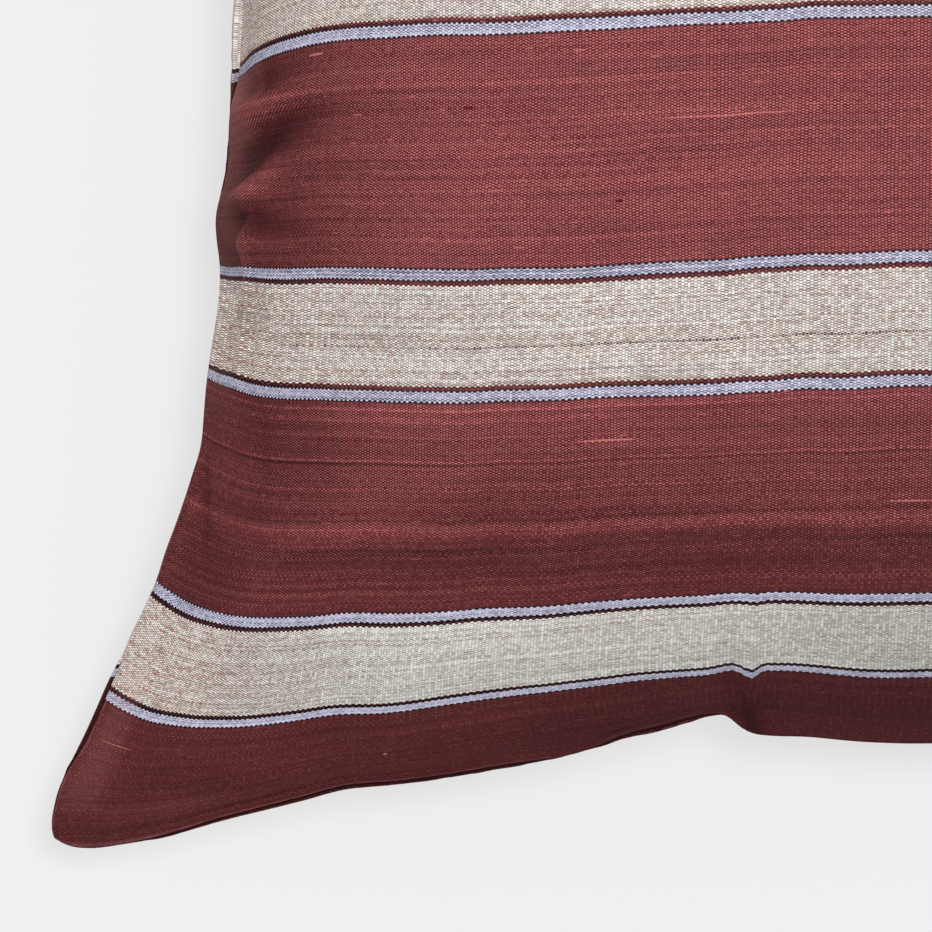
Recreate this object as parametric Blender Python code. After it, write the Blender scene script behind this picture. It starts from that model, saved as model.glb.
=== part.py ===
"""A square throw pillow of striped handloomed cotton, lying on its back.

Two square panels of cloth are sewn together around their edges and filled. Every point of the pillow
is worked out from where it lies on the flat cloth: (across, up) from the middle of a panel, in
millimetres. The front panel is the upper one, and the pillow's lower edge is at -Y.
"""

import math

import bmesh
import bpy
import numpy as np

MM = 0.001

# Cloth, as cut and sewn
FLAT_SIDE = 500.0
HALF = FLAT_SIDE / 2
CORNER_RADIUS = 20.0

# Filled form
CROWN_HEIGHT = 180.0
SEAM_HEIGHT = 69.0
CORNER_HEIGHT = 46.0
BACK_DEPTH = 88.0
BASE_SOFTNESS = 6.0

# How the cloth turns over from the crown to the seam: the sine of its slope is
# STEEPEST * tanh(TURN * share ** TURN_POWER), where share is 0 in the middle and 1 at the seam
STEEPEST = 0.97
TURN = 2.2
TURN_POWER = 2.1
PROFILE_STEPS = 400

# How closely the rows beside a seam keep the spacing of the seam itself
SEAM_GRIP_ACROSS = 4.0
SEAM_GRIP_UP = 5.0
EAR_DROOP_POWER = 3.0
EAR_FILL = 0.6
EAR_FILL_POWER = 4.0

# The seam seen from above. A row is one station: its place along the flat side, then where it lies.
#              along    x      y
LEFT_SEAM = ((-250, -244.7, -232.0),
             (-201, -222.5, -187.0),
             (-166, -209.0, -157.7),
             (-126, -196.3, -121.5),
             (-106, -194.5, -103.0),
             (-71,  -190.7, -72.0),
             (-54,  -191.8, -57.5),
             (-40,  -189.3, -45.5),
             (-11,  -188.0, -20.0),
             (60,   -187.5, 46.0),
             (140,  -200.0, 126.0),
             (200,  -220.0, 183.0),
             (250,  -241.0, 230.5))
RIGHT_SEAM = ((-250, 241.5, -229.5),
              (-190, 217.0, -175.0),
              (-110, 196.0, -104.0),
              (-30,  188.5, -32.0),
              (50,   188.0, 42.0),
              (130,  198.0, 116.0),
              (200,  219.5, 182.0),
              (250,  243.0, 230.0))
LOWER_SEAM = ((-250, -244.7, -232.0),
              (-200, -194.5, -221.5),
              (-174, -169.7, -215.2),
              (-160, -156.8, -211.7),
              (-146, -142.8, -210.4),
              (-104, -99.5,  -203.5),
              (-50,  -48.0,  -196.6),
              (-20,  -19.0,  -199.2),
              (60,    57.0,  -199.0),
              (140,   134.0, -206.5),
              (200,   192.0, -218.5),
              (250,   241.5, -229.5))
UPPER_SEAM = ((-250, -241.0, 230.5),
              (-190, -181.0, 216.0),
              (-120, -114.0, 204.0),
              (-20,  -19.0,  197.5),
              (70,   67.0,   198.5),
              (150,  144.0,  208.5),
              (200,  192.5,  218.5),
              (250,  243.0,  230.0))

# Gathers and dents. Each starts on one side's seam and runs inwards over the front panel.
# along: place on that side; lean: mm it moves along for each mm inwards; before and after: half widths;
# raise: height of the ridge (a trough is negative); pull: how far the seam is drawn in; reach: length.
#          side    along    lean  before after raise  pull  reach
FOLDS = (("left",  -14.0,   0.05,   5.0,  4.0, -1.2,  0.0,  26.0),
         ("left",  -21.0,   0.08,   5.0,  5.0,  3.4,  0.0,  46.0),
         ("left",  -32.0,   0.12,   7.0,  6.0, -3.2,  0.0,  50.0),
         ("left",  -44.0,   0.12,   5.5,  5.5,  2.8,  0.0,  32.0),
         ("left",  -54.0,   0.05,   6.5,  6.5, -2.2,  0.0,  28.0),
         ("left",   58.0,  -0.10,   9.0,  9.0, -2.4,  0.8,  40.0),
         ("left",   76.0,  -0.10,   8.0,  8.0,  2.0,  0.0,  34.0),
         ("lower", -59.0,   0.45,  27.0,  6.0,  0.0,  6.5,  16.0),
         ("lower", -53.0,   0.35,   5.0,  6.0, -3.0,  0.0,  24.0),
         ("lower", -42.0,   0.20,   6.0,  8.0,  1.6,  0.0,  30.0),
         ("lower",  96.0,  -0.15,  12.0, 12.0, -2.2,  1.0,  36.0),
         ("right", -40.0,   0.10,   9.0,  9.0, -2.6,  0.8,  42.0),
         ("right", -22.0,   0.10,   8.0,  8.0,  2.4,  0.0,  38.0),
         ("right",  64.0,  -0.10,  10.0, 10.0, -2.4,  0.8,  36.0),
         ("upper", -70.0,   0.15,  12.0, 12.0, -2.4,  1.0,  36.0),
         ("upper",  50.0,  -0.10,  10.0, 10.0, -2.0,  0.8,  32.0))
FOLD_START = 7.0

# Mesh rows and columns: from, to, and how many steps between, closer together where the gathers are
ROW_ZONES = ((-250, -232, 3), (-232, -76, 12), (-76, -4, 14), (-4, 232, 16), (232, 250, 3))
COLUMN_ZONES = ((-250, -225, 5), (-225, -84, 10), (-84, -32, 9), (-32, 232, 16), (232, 250, 3))
WELD_DISTANCE = 0.01
SMOOTH_ANGLE = math.radians(60)

BURGUNDY = (0.216, 0.060, 0.060, 1.0)
CLOTH_ROUGHNESS = 0.85


def curve_through(place, stations, column):
    """Smooth curve through one column of a seam table, read at each place along the side."""
    table = np.array(stations, float)
    at, value = table[:, 0], table[:, column]
    gap = np.diff(at)
    rise = np.diff(value) / gap
    inner_slope = (rise[:-1] * gap[1:] + rise[1:] * gap[:-1]) / (gap[:-1] + gap[1:])
    slope = np.concatenate([rise[:1], inner_slope, rise[-1:]])
    k = np.clip(np.searchsorted(at, place) - 1, 0, len(gap) - 1)
    t = (place - at[k]) / gap[k]
    return ((2 * t**3 - 3 * t**2 + 1) * value[k] + (t**3 - 2 * t**2 + t) * gap[k] * slope[k]
            + (3 * t**2 - 2 * t**3) * value[k + 1] + (t**3 - t**2) * gap[k] * slope[k + 1])


def running_total(values):
    """Area under evenly spaced values from the first one on, ending at 1."""
    total = np.concatenate([[0.0], np.cumsum((values[1:] + values[:-1]) / 2)])
    return total / total[-1]


PROFILE_SHARE = np.linspace(0, 1, PROFILE_STEPS + 1)
PROFILE_SINE = STEEPEST * np.tanh(TURN * PROFILE_SHARE**TURN_POWER)
PROFILE_RUN = running_total(np.sqrt(1 - PROFILE_SINE**2))
PROFILE_DROP = running_total(PROFILE_SINE)


def run_of(share):
    """How far out a cloth point lies, from 0 in the middle to 1 or -1 at the seam."""
    return np.sign(share) * np.interp(np.abs(share), PROFILE_SHARE, PROFILE_RUN)


def height_of(share):
    """How high the cloth stands over the seam, from 1 in the middle to 0 at the seam."""
    return 1 - np.interp(np.abs(share), PROFILE_SHARE, PROFILE_DROP)


def round_corners(across, up):
    """Moves the corners of the square panel in, so that each one is a quarter circle."""
    inner = HALF - CORNER_RADIUS
    a = np.clip((np.abs(across) - inner) / CORNER_RADIUS, 0, 1)
    b = np.clip((np.abs(up) - inner) / CORNER_RADIUS, 0, 1)
    in_corner = (a > 0) & (b > 0)
    rounded_across = np.sign(across) * (inner + CORNER_RADIUS * a * np.sqrt(1 - b * b / 2))
    rounded_up = np.sign(up) * (inner + CORNER_RADIUS * b * np.sqrt(1 - a * a / 2))
    return np.where(in_corner, rounded_across, across), np.where(in_corner, rounded_up, up)


def fold_shapes(across, up):
    """Adds up the folds: how far they raise the front panel, and how far they draw in each side."""
    raised = np.zeros_like(across)
    drawn = {"left": np.zeros_like(across), "right": np.zeros_like(across),
             "lower": np.zeros_like(across), "upper": np.zeros_like(across)}
    along_and_inward = {"left": (up, HALF + across), "right": (up, HALF - across),
                        "lower": (across, HALF + up), "upper": (across, HALF - up)}
    for side, place, lean, before, after, raise_by, pull, reach in FOLDS:
        along, inward = along_and_inward[side]
        offset = along - place - lean * inward
        width = np.where(offset < 0, before, after)
        ridge = np.exp(-((offset / width) ** 2))
        raised += raise_by * ridge * (1 - np.exp(-inward / FOLD_START)) * np.exp(-((inward / reach) ** 2))
        drawn[side] += pull * ridge * np.exp(-((inward / reach) ** 2))
    return raised, drawn


def plan_position(across, up):
    """Where a point of the flat cloth lies when the filled pillow is seen from above."""
    share_across, share_up = across / HALF, up / HALF
    left_x, left_y = (curve_through(up, LEFT_SEAM, column) for column in (1, 2))
    right_x, right_y = (curve_through(up, RIGHT_SEAM, column) for column in (1, 2))
    lower_x, lower_y = (curve_through(across, LOWER_SEAM, column) for column in (1, 2))
    upper_x, upper_y = (curve_through(across, UPPER_SEAM, column) for column in (1, 2))
    side_x = np.where(across < 0, -left_x, right_x)
    corner_x = np.where(across < 0, np.where(up < 0, -LEFT_SEAM[0][1], -LEFT_SEAM[-1][1]),
                        np.where(up < 0, RIGHT_SEAM[0][1], RIGHT_SEAM[-1][1]))
    side_y = np.where(up < 0, -lower_y, upper_y)
    corner_y = np.where(up < 0, np.where(across < 0, -LEFT_SEAM[0][2], -RIGHT_SEAM[0][2]),
                        np.where(across < 0, LEFT_SEAM[-1][2], RIGHT_SEAM[-1][2]))
    grip_across = np.abs(share_up) ** SEAM_GRIP_ACROSS
    grip_up = np.abs(share_across) ** SEAM_GRIP_UP
    seam_share_across = np.where(up < 0, lower_x, upper_x) / corner_x
    seam_share_up = np.where(across < 0, left_y, right_y) / corner_y
    x = side_x * ((1 - grip_across) * run_of(share_across) + grip_across * seam_share_across)
    y = side_y * ((1 - grip_up) * run_of(share_up) + grip_up * seam_share_up)
    return x, y


def soft_floor(height):
    """Flattens what would reach below the surface that the pillow lies on, with a soft start."""
    blended = (height + BASE_SOFTNESS) ** 2 / (4 * BASE_SOFTNESS)
    return np.where(height > BASE_SOFTNESS, height, np.where(height < -BASE_SOFTNESS, 0.0, blended))


def panel_points(across, up, front):
    """Points of one panel, in millimetres, for places on its flat cloth."""
    corner_share = np.abs(across * up / HALF**2)
    fullness = height_of(across / HALF) * height_of(up / HALF)
    fullness = fullness * (1 + EAR_FILL * corner_share**EAR_FILL_POWER)
    across, up = round_corners(across, up)
    raised, drawn = fold_shapes(across, up)
    x, y = plan_position(across, up)
    x = x + drawn["left"] - drawn["right"]
    y = y + drawn["lower"] - drawn["upper"]
    seam = SEAM_HEIGHT - (SEAM_HEIGHT - CORNER_HEIGHT) * corner_share**EAR_DROOP_POWER
    if front:
        z = seam + (CROWN_HEIGHT - SEAM_HEIGHT) * fullness + raised
    else:
        z = soft_floor(seam - BACK_DEPTH * fullness)
    return np.stack([x, y, z], axis=-1)


def stations(zones):
    """Places of the mesh lines along one side of the flat cloth."""
    places = [float(zones[0][0])]
    for start, end, steps in zones:
        places += [start + (end - start) * k / steps for k in range(1, steps + 1)]
    return np.array(places)


def add_panel(mesh, front, rows, columns):
    """Adds one panel to the mesh: a grid whose vertices are moved from the flat cloth to their places."""
    steps_across, steps_up = len(columns) - 1, len(rows) - 1
    grid = bmesh.ops.create_grid(mesh, x_segments=steps_across, y_segments=steps_up, size=1.0)["verts"]
    column_of = [round((v.co.x + 1) / 2 * steps_across) for v in grid]
    row_of = [round((v.co.y + 1) / 2 * steps_up) for v in grid]
    points = panel_points(columns[column_of], rows[row_of], front) * MM
    for vertex, point in zip(grid, points):
        vertex.co = point
    if not front:
        faces = {face for vertex in grid for face in vertex.link_faces}
        bmesh.ops.reverse_faces(mesh, faces=list(faces))


def centre_on_origin(mesh):
    """Puts the middle of the pillow's outline, seen from above, over the origin."""
    xs = [v.co.x for v in mesh.verts]
    ys = [v.co.y for v in mesh.verts]
    middle = ((min(xs) + max(xs)) / 2, (min(ys) + max(ys)) / 2, 0.0)
    bmesh.ops.translate(mesh, verts=mesh.verts, vec=[-c for c in middle])


def cloth_material():
    """Plain burgundy cotton: the stripes are woven in colour only."""
    material = bpy.data.materials.new("striped_cotton")
    material.use_nodes = True
    shader = material.node_tree.nodes["Principled BSDF"]
    shader.inputs["Base Color"].default_value = BURGUNDY
    shader.inputs["Roughness"].default_value = CLOTH_ROUGHNESS
    shader.inputs["Metallic"].default_value = 0.0
    material.diffuse_color = BURGUNDY
    return material


def make_pillow():
    """The filled pillow: front and back panels, welded all round along the seam."""
    rows, columns = stations(ROW_ZONES), stations(COLUMN_ZONES)
    mesh = bmesh.new()
    for front in (True, False):
        add_panel(mesh, front, rows, columns)
    bmesh.ops.remove_doubles(mesh, verts=mesh.verts, dist=WELD_DISTANCE * MM)
    centre_on_origin(mesh)
    data = bpy.data.meshes.new("pillow")
    mesh.to_mesh(data)
    mesh.free()
    data.shade_smooth()
    data.set_sharp_from_angle(angle=SMOOTH_ANGLE)
    data.materials.append(cloth_material())
    pillow = bpy.data.objects.new("pillow", data)
    bpy.context.scene.collection.objects.link(pillow)
    return pillow


for old in list(bpy.data.objects):
    bpy.data.objects.remove(old)
make_pillow()
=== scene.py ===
"""A square throw pillow of striped handloomed cotton, lying on its back and seen from above."""

import math

import bpy
import numpy as np
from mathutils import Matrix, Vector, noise


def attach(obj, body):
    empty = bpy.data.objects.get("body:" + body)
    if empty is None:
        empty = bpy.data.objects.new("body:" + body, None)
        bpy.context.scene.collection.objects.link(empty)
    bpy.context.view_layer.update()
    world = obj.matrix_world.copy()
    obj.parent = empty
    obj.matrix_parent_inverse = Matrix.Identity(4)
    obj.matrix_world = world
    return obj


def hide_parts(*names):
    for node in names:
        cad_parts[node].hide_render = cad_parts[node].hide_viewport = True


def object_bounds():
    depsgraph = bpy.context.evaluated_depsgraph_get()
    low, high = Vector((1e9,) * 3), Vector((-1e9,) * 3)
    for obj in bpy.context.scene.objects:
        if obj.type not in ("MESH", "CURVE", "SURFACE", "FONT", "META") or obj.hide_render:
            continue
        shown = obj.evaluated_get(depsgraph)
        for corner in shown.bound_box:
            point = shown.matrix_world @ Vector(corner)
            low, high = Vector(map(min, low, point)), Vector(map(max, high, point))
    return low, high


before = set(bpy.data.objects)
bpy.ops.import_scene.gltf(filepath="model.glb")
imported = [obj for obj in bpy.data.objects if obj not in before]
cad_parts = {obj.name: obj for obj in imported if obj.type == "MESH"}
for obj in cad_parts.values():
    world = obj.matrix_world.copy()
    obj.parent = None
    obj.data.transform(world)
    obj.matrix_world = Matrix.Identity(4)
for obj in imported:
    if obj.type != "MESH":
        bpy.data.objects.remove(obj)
solid_low, solid_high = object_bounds()

# Cover
# Two square panels of handloomed cotton, cut 500 mm across inside the seam and sewn together all
# round with right sides facing, turned out and filled. Every point of a panel is found from its
# place on the flat cloth, (across, up) from the panel's middle, in millimetres.

MM = 0.001
FLAT_SIDE = 500.0
HALF = FLAT_SIDE / 2
CORNER_RADIUS = 20.0

CROWN_HEIGHT = solid_high.z / MM
SEAM_HEIGHT = 69.0
CORNER_HEIGHT = 46.0
BACK_DEPTH = 88.0
BASE_SOFTNESS = 6.0

STEEPEST = 0.97
TURN = 2.2
TURN_POWER = 2.1
PROFILE_STEPS = 400

SEAM_GRIP_ACROSS = 4.0
SEAM_GRIP_UP = 5.0
EAR_DROOP_POWER = 3.0
EAR_FILL = 0.6
EAR_FILL_POWER = 4.0

# The seam seen from above. A row is one station: its place along the flat side, then where it lies.
#                       along    x      y
LEFT_SEAM = np.array(((-250, -244.7, -232.0),
                      (-201, -222.5, -187.0),
                      (-166, -209.0, -157.7),
                      (-126, -196.3, -121.5),
                      (-106, -194.5, -103.0),
                      (-71,  -190.7, -72.0),
                      (-54,  -191.8, -57.5),
                      (-40,  -189.3, -45.5),
                      (-11,  -188.0, -20.0),
                      (60,   -187.5, 46.0),
                      (140,  -200.0, 126.0),
                      (200,  -220.0, 183.0),
                      (250,  -241.0, 230.5)))
RIGHT_SEAM = np.array(((-250, 241.5, -229.5),
                       (-190, 217.0, -175.0),
                       (-110, 196.0, -104.0),
                       (-30,  188.5, -32.0),
                       (50,   188.0, 42.0),
                       (130,  198.0, 116.0),
                       (200,  219.5, 182.0),
                       (250,  243.0, 230.0)))
LOWER_SEAM = np.array(((-250, -244.7, -232.0),
                       (-200, -194.5, -221.5),
                       (-174, -169.7, -215.2),
                       (-160, -156.8, -211.7),
                       (-146, -142.8, -210.4),
                       (-104, -99.5,  -203.5),
                       (-50,  -48.0,  -196.6),
                       (-20,  -19.0,  -199.2),
                       (60,    57.0,  -199.0),
                       (140,   134.0, -206.5),
                       (200,   192.0, -218.5),
                       (250,   241.5, -229.5)))
UPPER_SEAM = np.array(((-250, -241.0, 230.5),
                       (-190, -181.0, 216.0),
                       (-120, -114.0, 204.0),
                       (-20,  -19.0,  197.5),
                       (70,   67.0,   198.5),
                       (150,  144.0,  208.5),
                       (200,  192.5,  218.5),
                       (250,  243.0,  230.0)))

# Gathers and dents. Each starts on one side's seam and runs inwards over the front panel.
# along: place on that side; lean: mm it moves along for each mm inwards; before and after: half widths;
# raise: height over the cloth (a trough is negative); pull: how far the seam is drawn in; reach: length.
#          side     along   lean  before after raise  pull  reach
FOLDS = (("left",  -18.5,  -0.03,   2.6,  5.0, -3.4,  0.0,  52.0),
         ("left",  -26.0,   0.06,   4.0,  6.0,  4.4,  0.0,  72.0),
         ("left",  -40.9,   0.26,   6.0,  3.5, -3.8,  0.0,  56.0),
         ("left",  -51.8,   0.21,   4.0,  5.0,  3.6,  0.0,  52.0),
         ("left",  -50.0,  -0.16,   4.0,  3.5, -3.2,  0.0,  46.0),
         ("left",  -60.0,  -0.03,   3.5,  5.0,  1.8,  0.0,  44.0),
         ("left", -121.0,  -1.20,   4.0,  3.5, -3.0,  0.0,  15.0),
         ("left", -130.0,  -0.90,   6.0,  5.0,  1.4,  0.0,  12.0),
         ("left",   58.0,  -0.10,   9.0,  9.0, -1.8,  0.8,  40.0),
         ("left",   76.0,  -0.10,   8.0,  8.0,  1.6,  0.0,  34.0),
         ("left",  -185.0,  0.30,  14.0, 14.0,  0.0, -0.9,  20.0),
         ("lower", -59.0,   0.45,  27.0,  6.0,  0.0,  6.5,  16.0),
         ("lower", -58.0,   0.42,   6.0,  4.0, -2.0,  0.0,  20.0),
         ("lower", -46.5,  -0.13,   3.6,  2.0, -2.4,  0.0,  44.0),
         ("lower", -47.8,   0.00,   4.2,  1.3,  4.4,  0.0,  60.0),
         ("lower",  96.0,  -0.15,  12.0, 12.0, -1.8,  1.0,  36.0),
         ("right", -40.0,   0.10,   9.0,  9.0, -2.0,  0.8,  42.0),
         ("right", -22.0,   0.10,   8.0,  8.0,  1.8,  0.0,  38.0),
         ("right",  64.0,  -0.10,  10.0, 10.0, -1.8,  0.8,  36.0),
         ("upper", -70.0,   0.15,  12.0, 12.0, -1.8,  1.0,  36.0),
         ("upper",  50.0,  -0.10,  10.0, 10.0, -1.5,  0.8,  32.0))
FOLD_START = 9.0

# Ridges and creases that run along a seam, over the folded allowance inside.
#                side    from    to    inward width height
ALONG_SEAM = (("left",  -98.0,  -50.0,  23.5,  3.0,  1.1),
              ("left",  -170.0, -140.0, 6.0,   2.5,  0.7),
              ("left",  -236.0, -192.0, 7.0,   4.0,  0.9),
              ("lower", -88.0,  -66.0,  9.5,   2.0, -1.7),
              ("lower", -238.0, -120.0, 4.6,   1.4, -0.7))

# The seam lies in a groove between two rolled edges of cloth, where the seam allowance inside is folded
# over. In places one edge stands out sideways past the other. The seam is drawn in by as much.
ROLL_WIDTH = 1.7
ROLL_HEIGHT = 0.7
#           side    from    to      front  back  inset
LIPS = (("left",  -16.0,   66.0,  -0.3, 3.1, 2.5),
        ("left",  -46.0,   -32.0,  0.0, 0.8, 0.5),
        ("left",  -220.0, -188.0, -0.2, 3.3, 2.3),
        ("left",  -250.0, -220.0,  0.0, 1.0, 0.5),
        ("lower", -238.0, -110.0,  0.0, 0.8, 0.5),
        ("lower", -214.0, -110.0,  0.0, 0.7, 0.4),
        ("left",  -158.0, -128.0,  0.0, 0.0, -1.1),
        ("left",  -230.0, -190.0,  0.0, 0.0, -1.6),
        ("lower", -252.0, -239.0,  0.0, 0.0, 0.7),
        ("lower", -231.0, -206.0,  0.0, 0.0, -0.9),
        ("lower", -198.0, -98.0,   0.0, 0.0, 0.5),
        ("lower", -98.0,   -82.0,  0.0, 0.0, 0.9),
        ("lower", -92.0,   -60.0, -0.4, 1.8, 0.9),
        ("lower", -78.0,   -54.0,  0.0, 0.0, -0.9),
        ("lower", -38.0,   250.0,  0.0, 0.0, 0.9),
        ("lower",  60.0,   170.0, -0.1, 1.0, 0.6),
        ("right", -120.0,   40.0, -0.1, 1.2, 0.8),
        ("upper", -150.0,  -20.0, -0.2, 1.4, 0.9))
LIP_BLEND = 5.0
LIP_RISE = 0.9
LIP_WIDTH = 3.4
LIP_REACH = 12.0
EDGE_INSET = 0.2


def curve_through(place, at, value):
    """Smooth curve through values at rising stations, read at each place. A value may be a whole row."""
    gap = np.diff(at).reshape((-1,) + (1,) * (value.ndim - 1))
    rise = np.diff(value, axis=0) / gap
    inner_slope = (rise[:-1] * gap[1:] + rise[1:] * gap[:-1]) / (gap[:-1] + gap[1:])
    slope = np.concatenate([rise[:1], inner_slope, rise[-1:]])
    k = np.clip(np.searchsorted(at, place) - 1, 0, len(at) - 2)
    t = (place - at[k]) / np.diff(at)[k]
    t = t.reshape(t.shape + (1,) * (value.ndim - 1))
    return ((2 * t**3 - 3 * t**2 + 1) * value[k] + (t**3 - 2 * t**2 + t) * gap[k].reshape(t.shape) * slope[k]
            + (3 * t**2 - 2 * t**3) * value[k + 1] + (t**3 - t**2) * gap[k].reshape(t.shape) * slope[k + 1])


def running_total(values):
    """Area under evenly spaced values from the first one on, ending at 1."""
    total = np.concatenate([[0.0], np.cumsum((values[1:] + values[:-1]) / 2)])
    return total / total[-1]


profile_share = np.linspace(0, 1, PROFILE_STEPS + 1)
profile_sine = STEEPEST * np.tanh(TURN * profile_share**TURN_POWER)
profile_run = running_total(np.sqrt(1 - profile_sine**2))
profile_drop = running_total(profile_sine)


def run_of(share):
    """How far out a cloth point lies, from 0 in the middle to 1 or -1 at the seam."""
    return np.sign(share) * np.interp(np.abs(share), profile_share, profile_run)


def height_of(share):
    """How high the cloth stands over the seam, from 1 in the middle to 0 at the seam."""
    return 1 - np.interp(np.abs(share), profile_share, profile_drop)


def round_corners(across, up):
    """Moves the corners of the square panel in, so that each one is a quarter circle."""
    inner = HALF - CORNER_RADIUS
    a = np.clip((np.abs(across) - inner) / CORNER_RADIUS, 0, 1)
    b = np.clip((np.abs(up) - inner) / CORNER_RADIUS, 0, 1)
    in_corner = (a > 0) & (b > 0)
    rounded_across = np.sign(across) * (inner + CORNER_RADIUS * a * np.sqrt(1 - b * b / 2))
    rounded_up = np.sign(up) * (inner + CORNER_RADIUS * b * np.sqrt(1 - a * a / 2))
    return np.where(in_corner, rounded_across, across), np.where(in_corner, rounded_up, up)


def sides_of(across, up):
    """For each side: the place along it, and the distance in from its seam."""
    return {"left": (up, HALF + across), "right": (up, HALF - across),
            "lower": (across, HALF + up), "upper": (across, HALF - up)}


def window(along, start, end):
    """1 between two places along a side, 0 outside, with soft ends."""
    return (np.tanh((along - start) / LIP_BLEND) - np.tanh((along - end) / LIP_BLEND)) / 2


def fold_shapes(across, up):
    """Adds up the folds: how far they raise the front panel, and how far they draw in each side."""
    across, up = round_corners(across, up)
    raised = np.zeros_like(across)
    drawn = {side: np.zeros_like(across) for side in ("left", "right", "lower", "upper")}
    for side, place, lean, before, after, raise_by, pull, reach in FOLDS:
        along, inward = sides_of(across, up)[side]
        offset = along - place - lean * inward
        ridge = np.exp(-((offset / np.where(offset < 0, before, after)) ** 2))
        start = 1 - np.exp(-((inward / FOLD_START) ** 2))
        raised += raise_by * ridge * start * np.exp(-((inward / reach) ** 2))
        drawn[side] += pull * ridge * np.exp(-((inward / reach) ** 2))
    for side, start, end, distance, width, height in ALONG_SEAM:
        along, inward = sides_of(across, up)[side]
        raised += height * window(along, start, end) * np.exp(-(((inward - distance) / width) ** 2))
    return raised, drawn


def lips(across, up):
    """For each side: how far the front's edge and the back's stand out sideways, and the seam's inset."""
    found = {}
    for side, (along, inward) in sides_of(across, up).items():
        found[side] = [np.zeros_like(across), np.zeros_like(across), np.full_like(across, EDGE_INSET)]
        for lip_side, start, end, *amounts in LIPS:
            if lip_side == side:
                for total, amount in zip(found[side], amounts):
                    total += amount * window(along, start, end)
    return found


def plan_position(across, up):
    """Where a point of the flat cloth lies when the filled pillow is seen from above."""
    share_across, share_up = across / HALF, up / HALF
    left_x, left_y = (curve_through(up, LEFT_SEAM[:, 0], LEFT_SEAM[:, k]) for k in (1, 2))
    right_x, right_y = (curve_through(up, RIGHT_SEAM[:, 0], RIGHT_SEAM[:, k]) for k in (1, 2))
    lower_x, lower_y = (curve_through(across, LOWER_SEAM[:, 0], LOWER_SEAM[:, k]) for k in (1, 2))
    upper_x, upper_y = (curve_through(across, UPPER_SEAM[:, 0], UPPER_SEAM[:, k]) for k in (1, 2))
    side_x = np.where(across < 0, -left_x, right_x)
    side_y = np.where(up < 0, -lower_y, upper_y)
    corner_x = np.where(across < 0, np.where(up < 0, -LEFT_SEAM[0, 1], -LEFT_SEAM[-1, 1]),
                        np.where(up < 0, RIGHT_SEAM[0, 1], RIGHT_SEAM[-1, 1]))
    corner_y = np.where(up < 0, np.where(across < 0, -LEFT_SEAM[0, 2], -RIGHT_SEAM[0, 2]),
                        np.where(across < 0, LEFT_SEAM[-1, 2], RIGHT_SEAM[-1, 2]))
    grip_across = np.abs(share_up) ** SEAM_GRIP_ACROSS
    grip_up = np.abs(share_across) ** SEAM_GRIP_UP
    seam_share_across = np.where(up < 0, lower_x, upper_x) / corner_x
    seam_share_up = np.where(across < 0, left_y, right_y) / corner_y
    x = side_x * ((1 - grip_across) * run_of(share_across) + grip_across * seam_share_across)
    y = side_y * ((1 - grip_up) * run_of(share_up) + grip_up * seam_share_up)
    return x, y


def soft_floor(height):
    """Flattens what would reach below the surface that the pillow lies on, with a soft start."""
    blended = (height + BASE_SOFTNESS) ** 2 / (4 * BASE_SOFTNESS)
    return np.where(height > BASE_SOFTNESS, height, np.where(height < -BASE_SOFTNESS, 0.0, blended))


def filled_panel(across, up, front):
    """Points of one panel of the filled pillow, in millimetres, for places on its flat cloth."""
    corner_share = np.abs(across * up / HALF**2)
    fullness = height_of(across / HALF) * height_of(up / HALF)
    fullness = fullness * (1 + EAR_FILL * corner_share**EAR_FILL_POWER)
    drawn = fold_shapes(across, up)[1]
    for side, (along, inward) in sides_of(across, up).items():
        lip = lips(across, up)[side]
        edge = (1 - np.exp(-((inward / LIP_RISE) ** 2))) * np.exp(-((inward / LIP_WIDTH) ** 2))
        drawn[side] += lip[2] * np.exp(-((inward / LIP_REACH) ** 2)) - lip[0 if front else 1] * edge
    across, up = round_corners(across, up)
    x, y = plan_position(across, up)
    x = x + drawn["left"] - drawn["right"]
    y = y + drawn["lower"] - drawn["upper"]
    seam = SEAM_HEIGHT - (SEAM_HEIGHT - CORNER_HEIGHT) * corner_share**EAR_DROOP_POWER
    if front:
        z = seam + (CROWN_HEIGHT - SEAM_HEIGHT) * fullness
    else:
        z = soft_floor(seam - BACK_DEPTH * fullness)
    return np.stack([x, y, z], axis=-1)


def stations(zones):
    """Places of the mesh lines along one side of the flat cloth: rows of from, to and steps."""
    places = [float(zones[0][0])]
    for start, end, steps in zones:
        places += [start + (end - start) * k / steps for k in range(1, steps + 1)]
    return np.array(places)


def note_on_points(mesh, name, front, back):
    """Keeps a value for each point of the two panels on the mesh, for its material to read."""
    values = np.concatenate([front.ravel(), back[1:-1, 1:-1].ravel()]).astype(np.float32)
    mesh.attributes.new(name, "FLOAT", "POINT").data.foreach_set("value", values)


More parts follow.
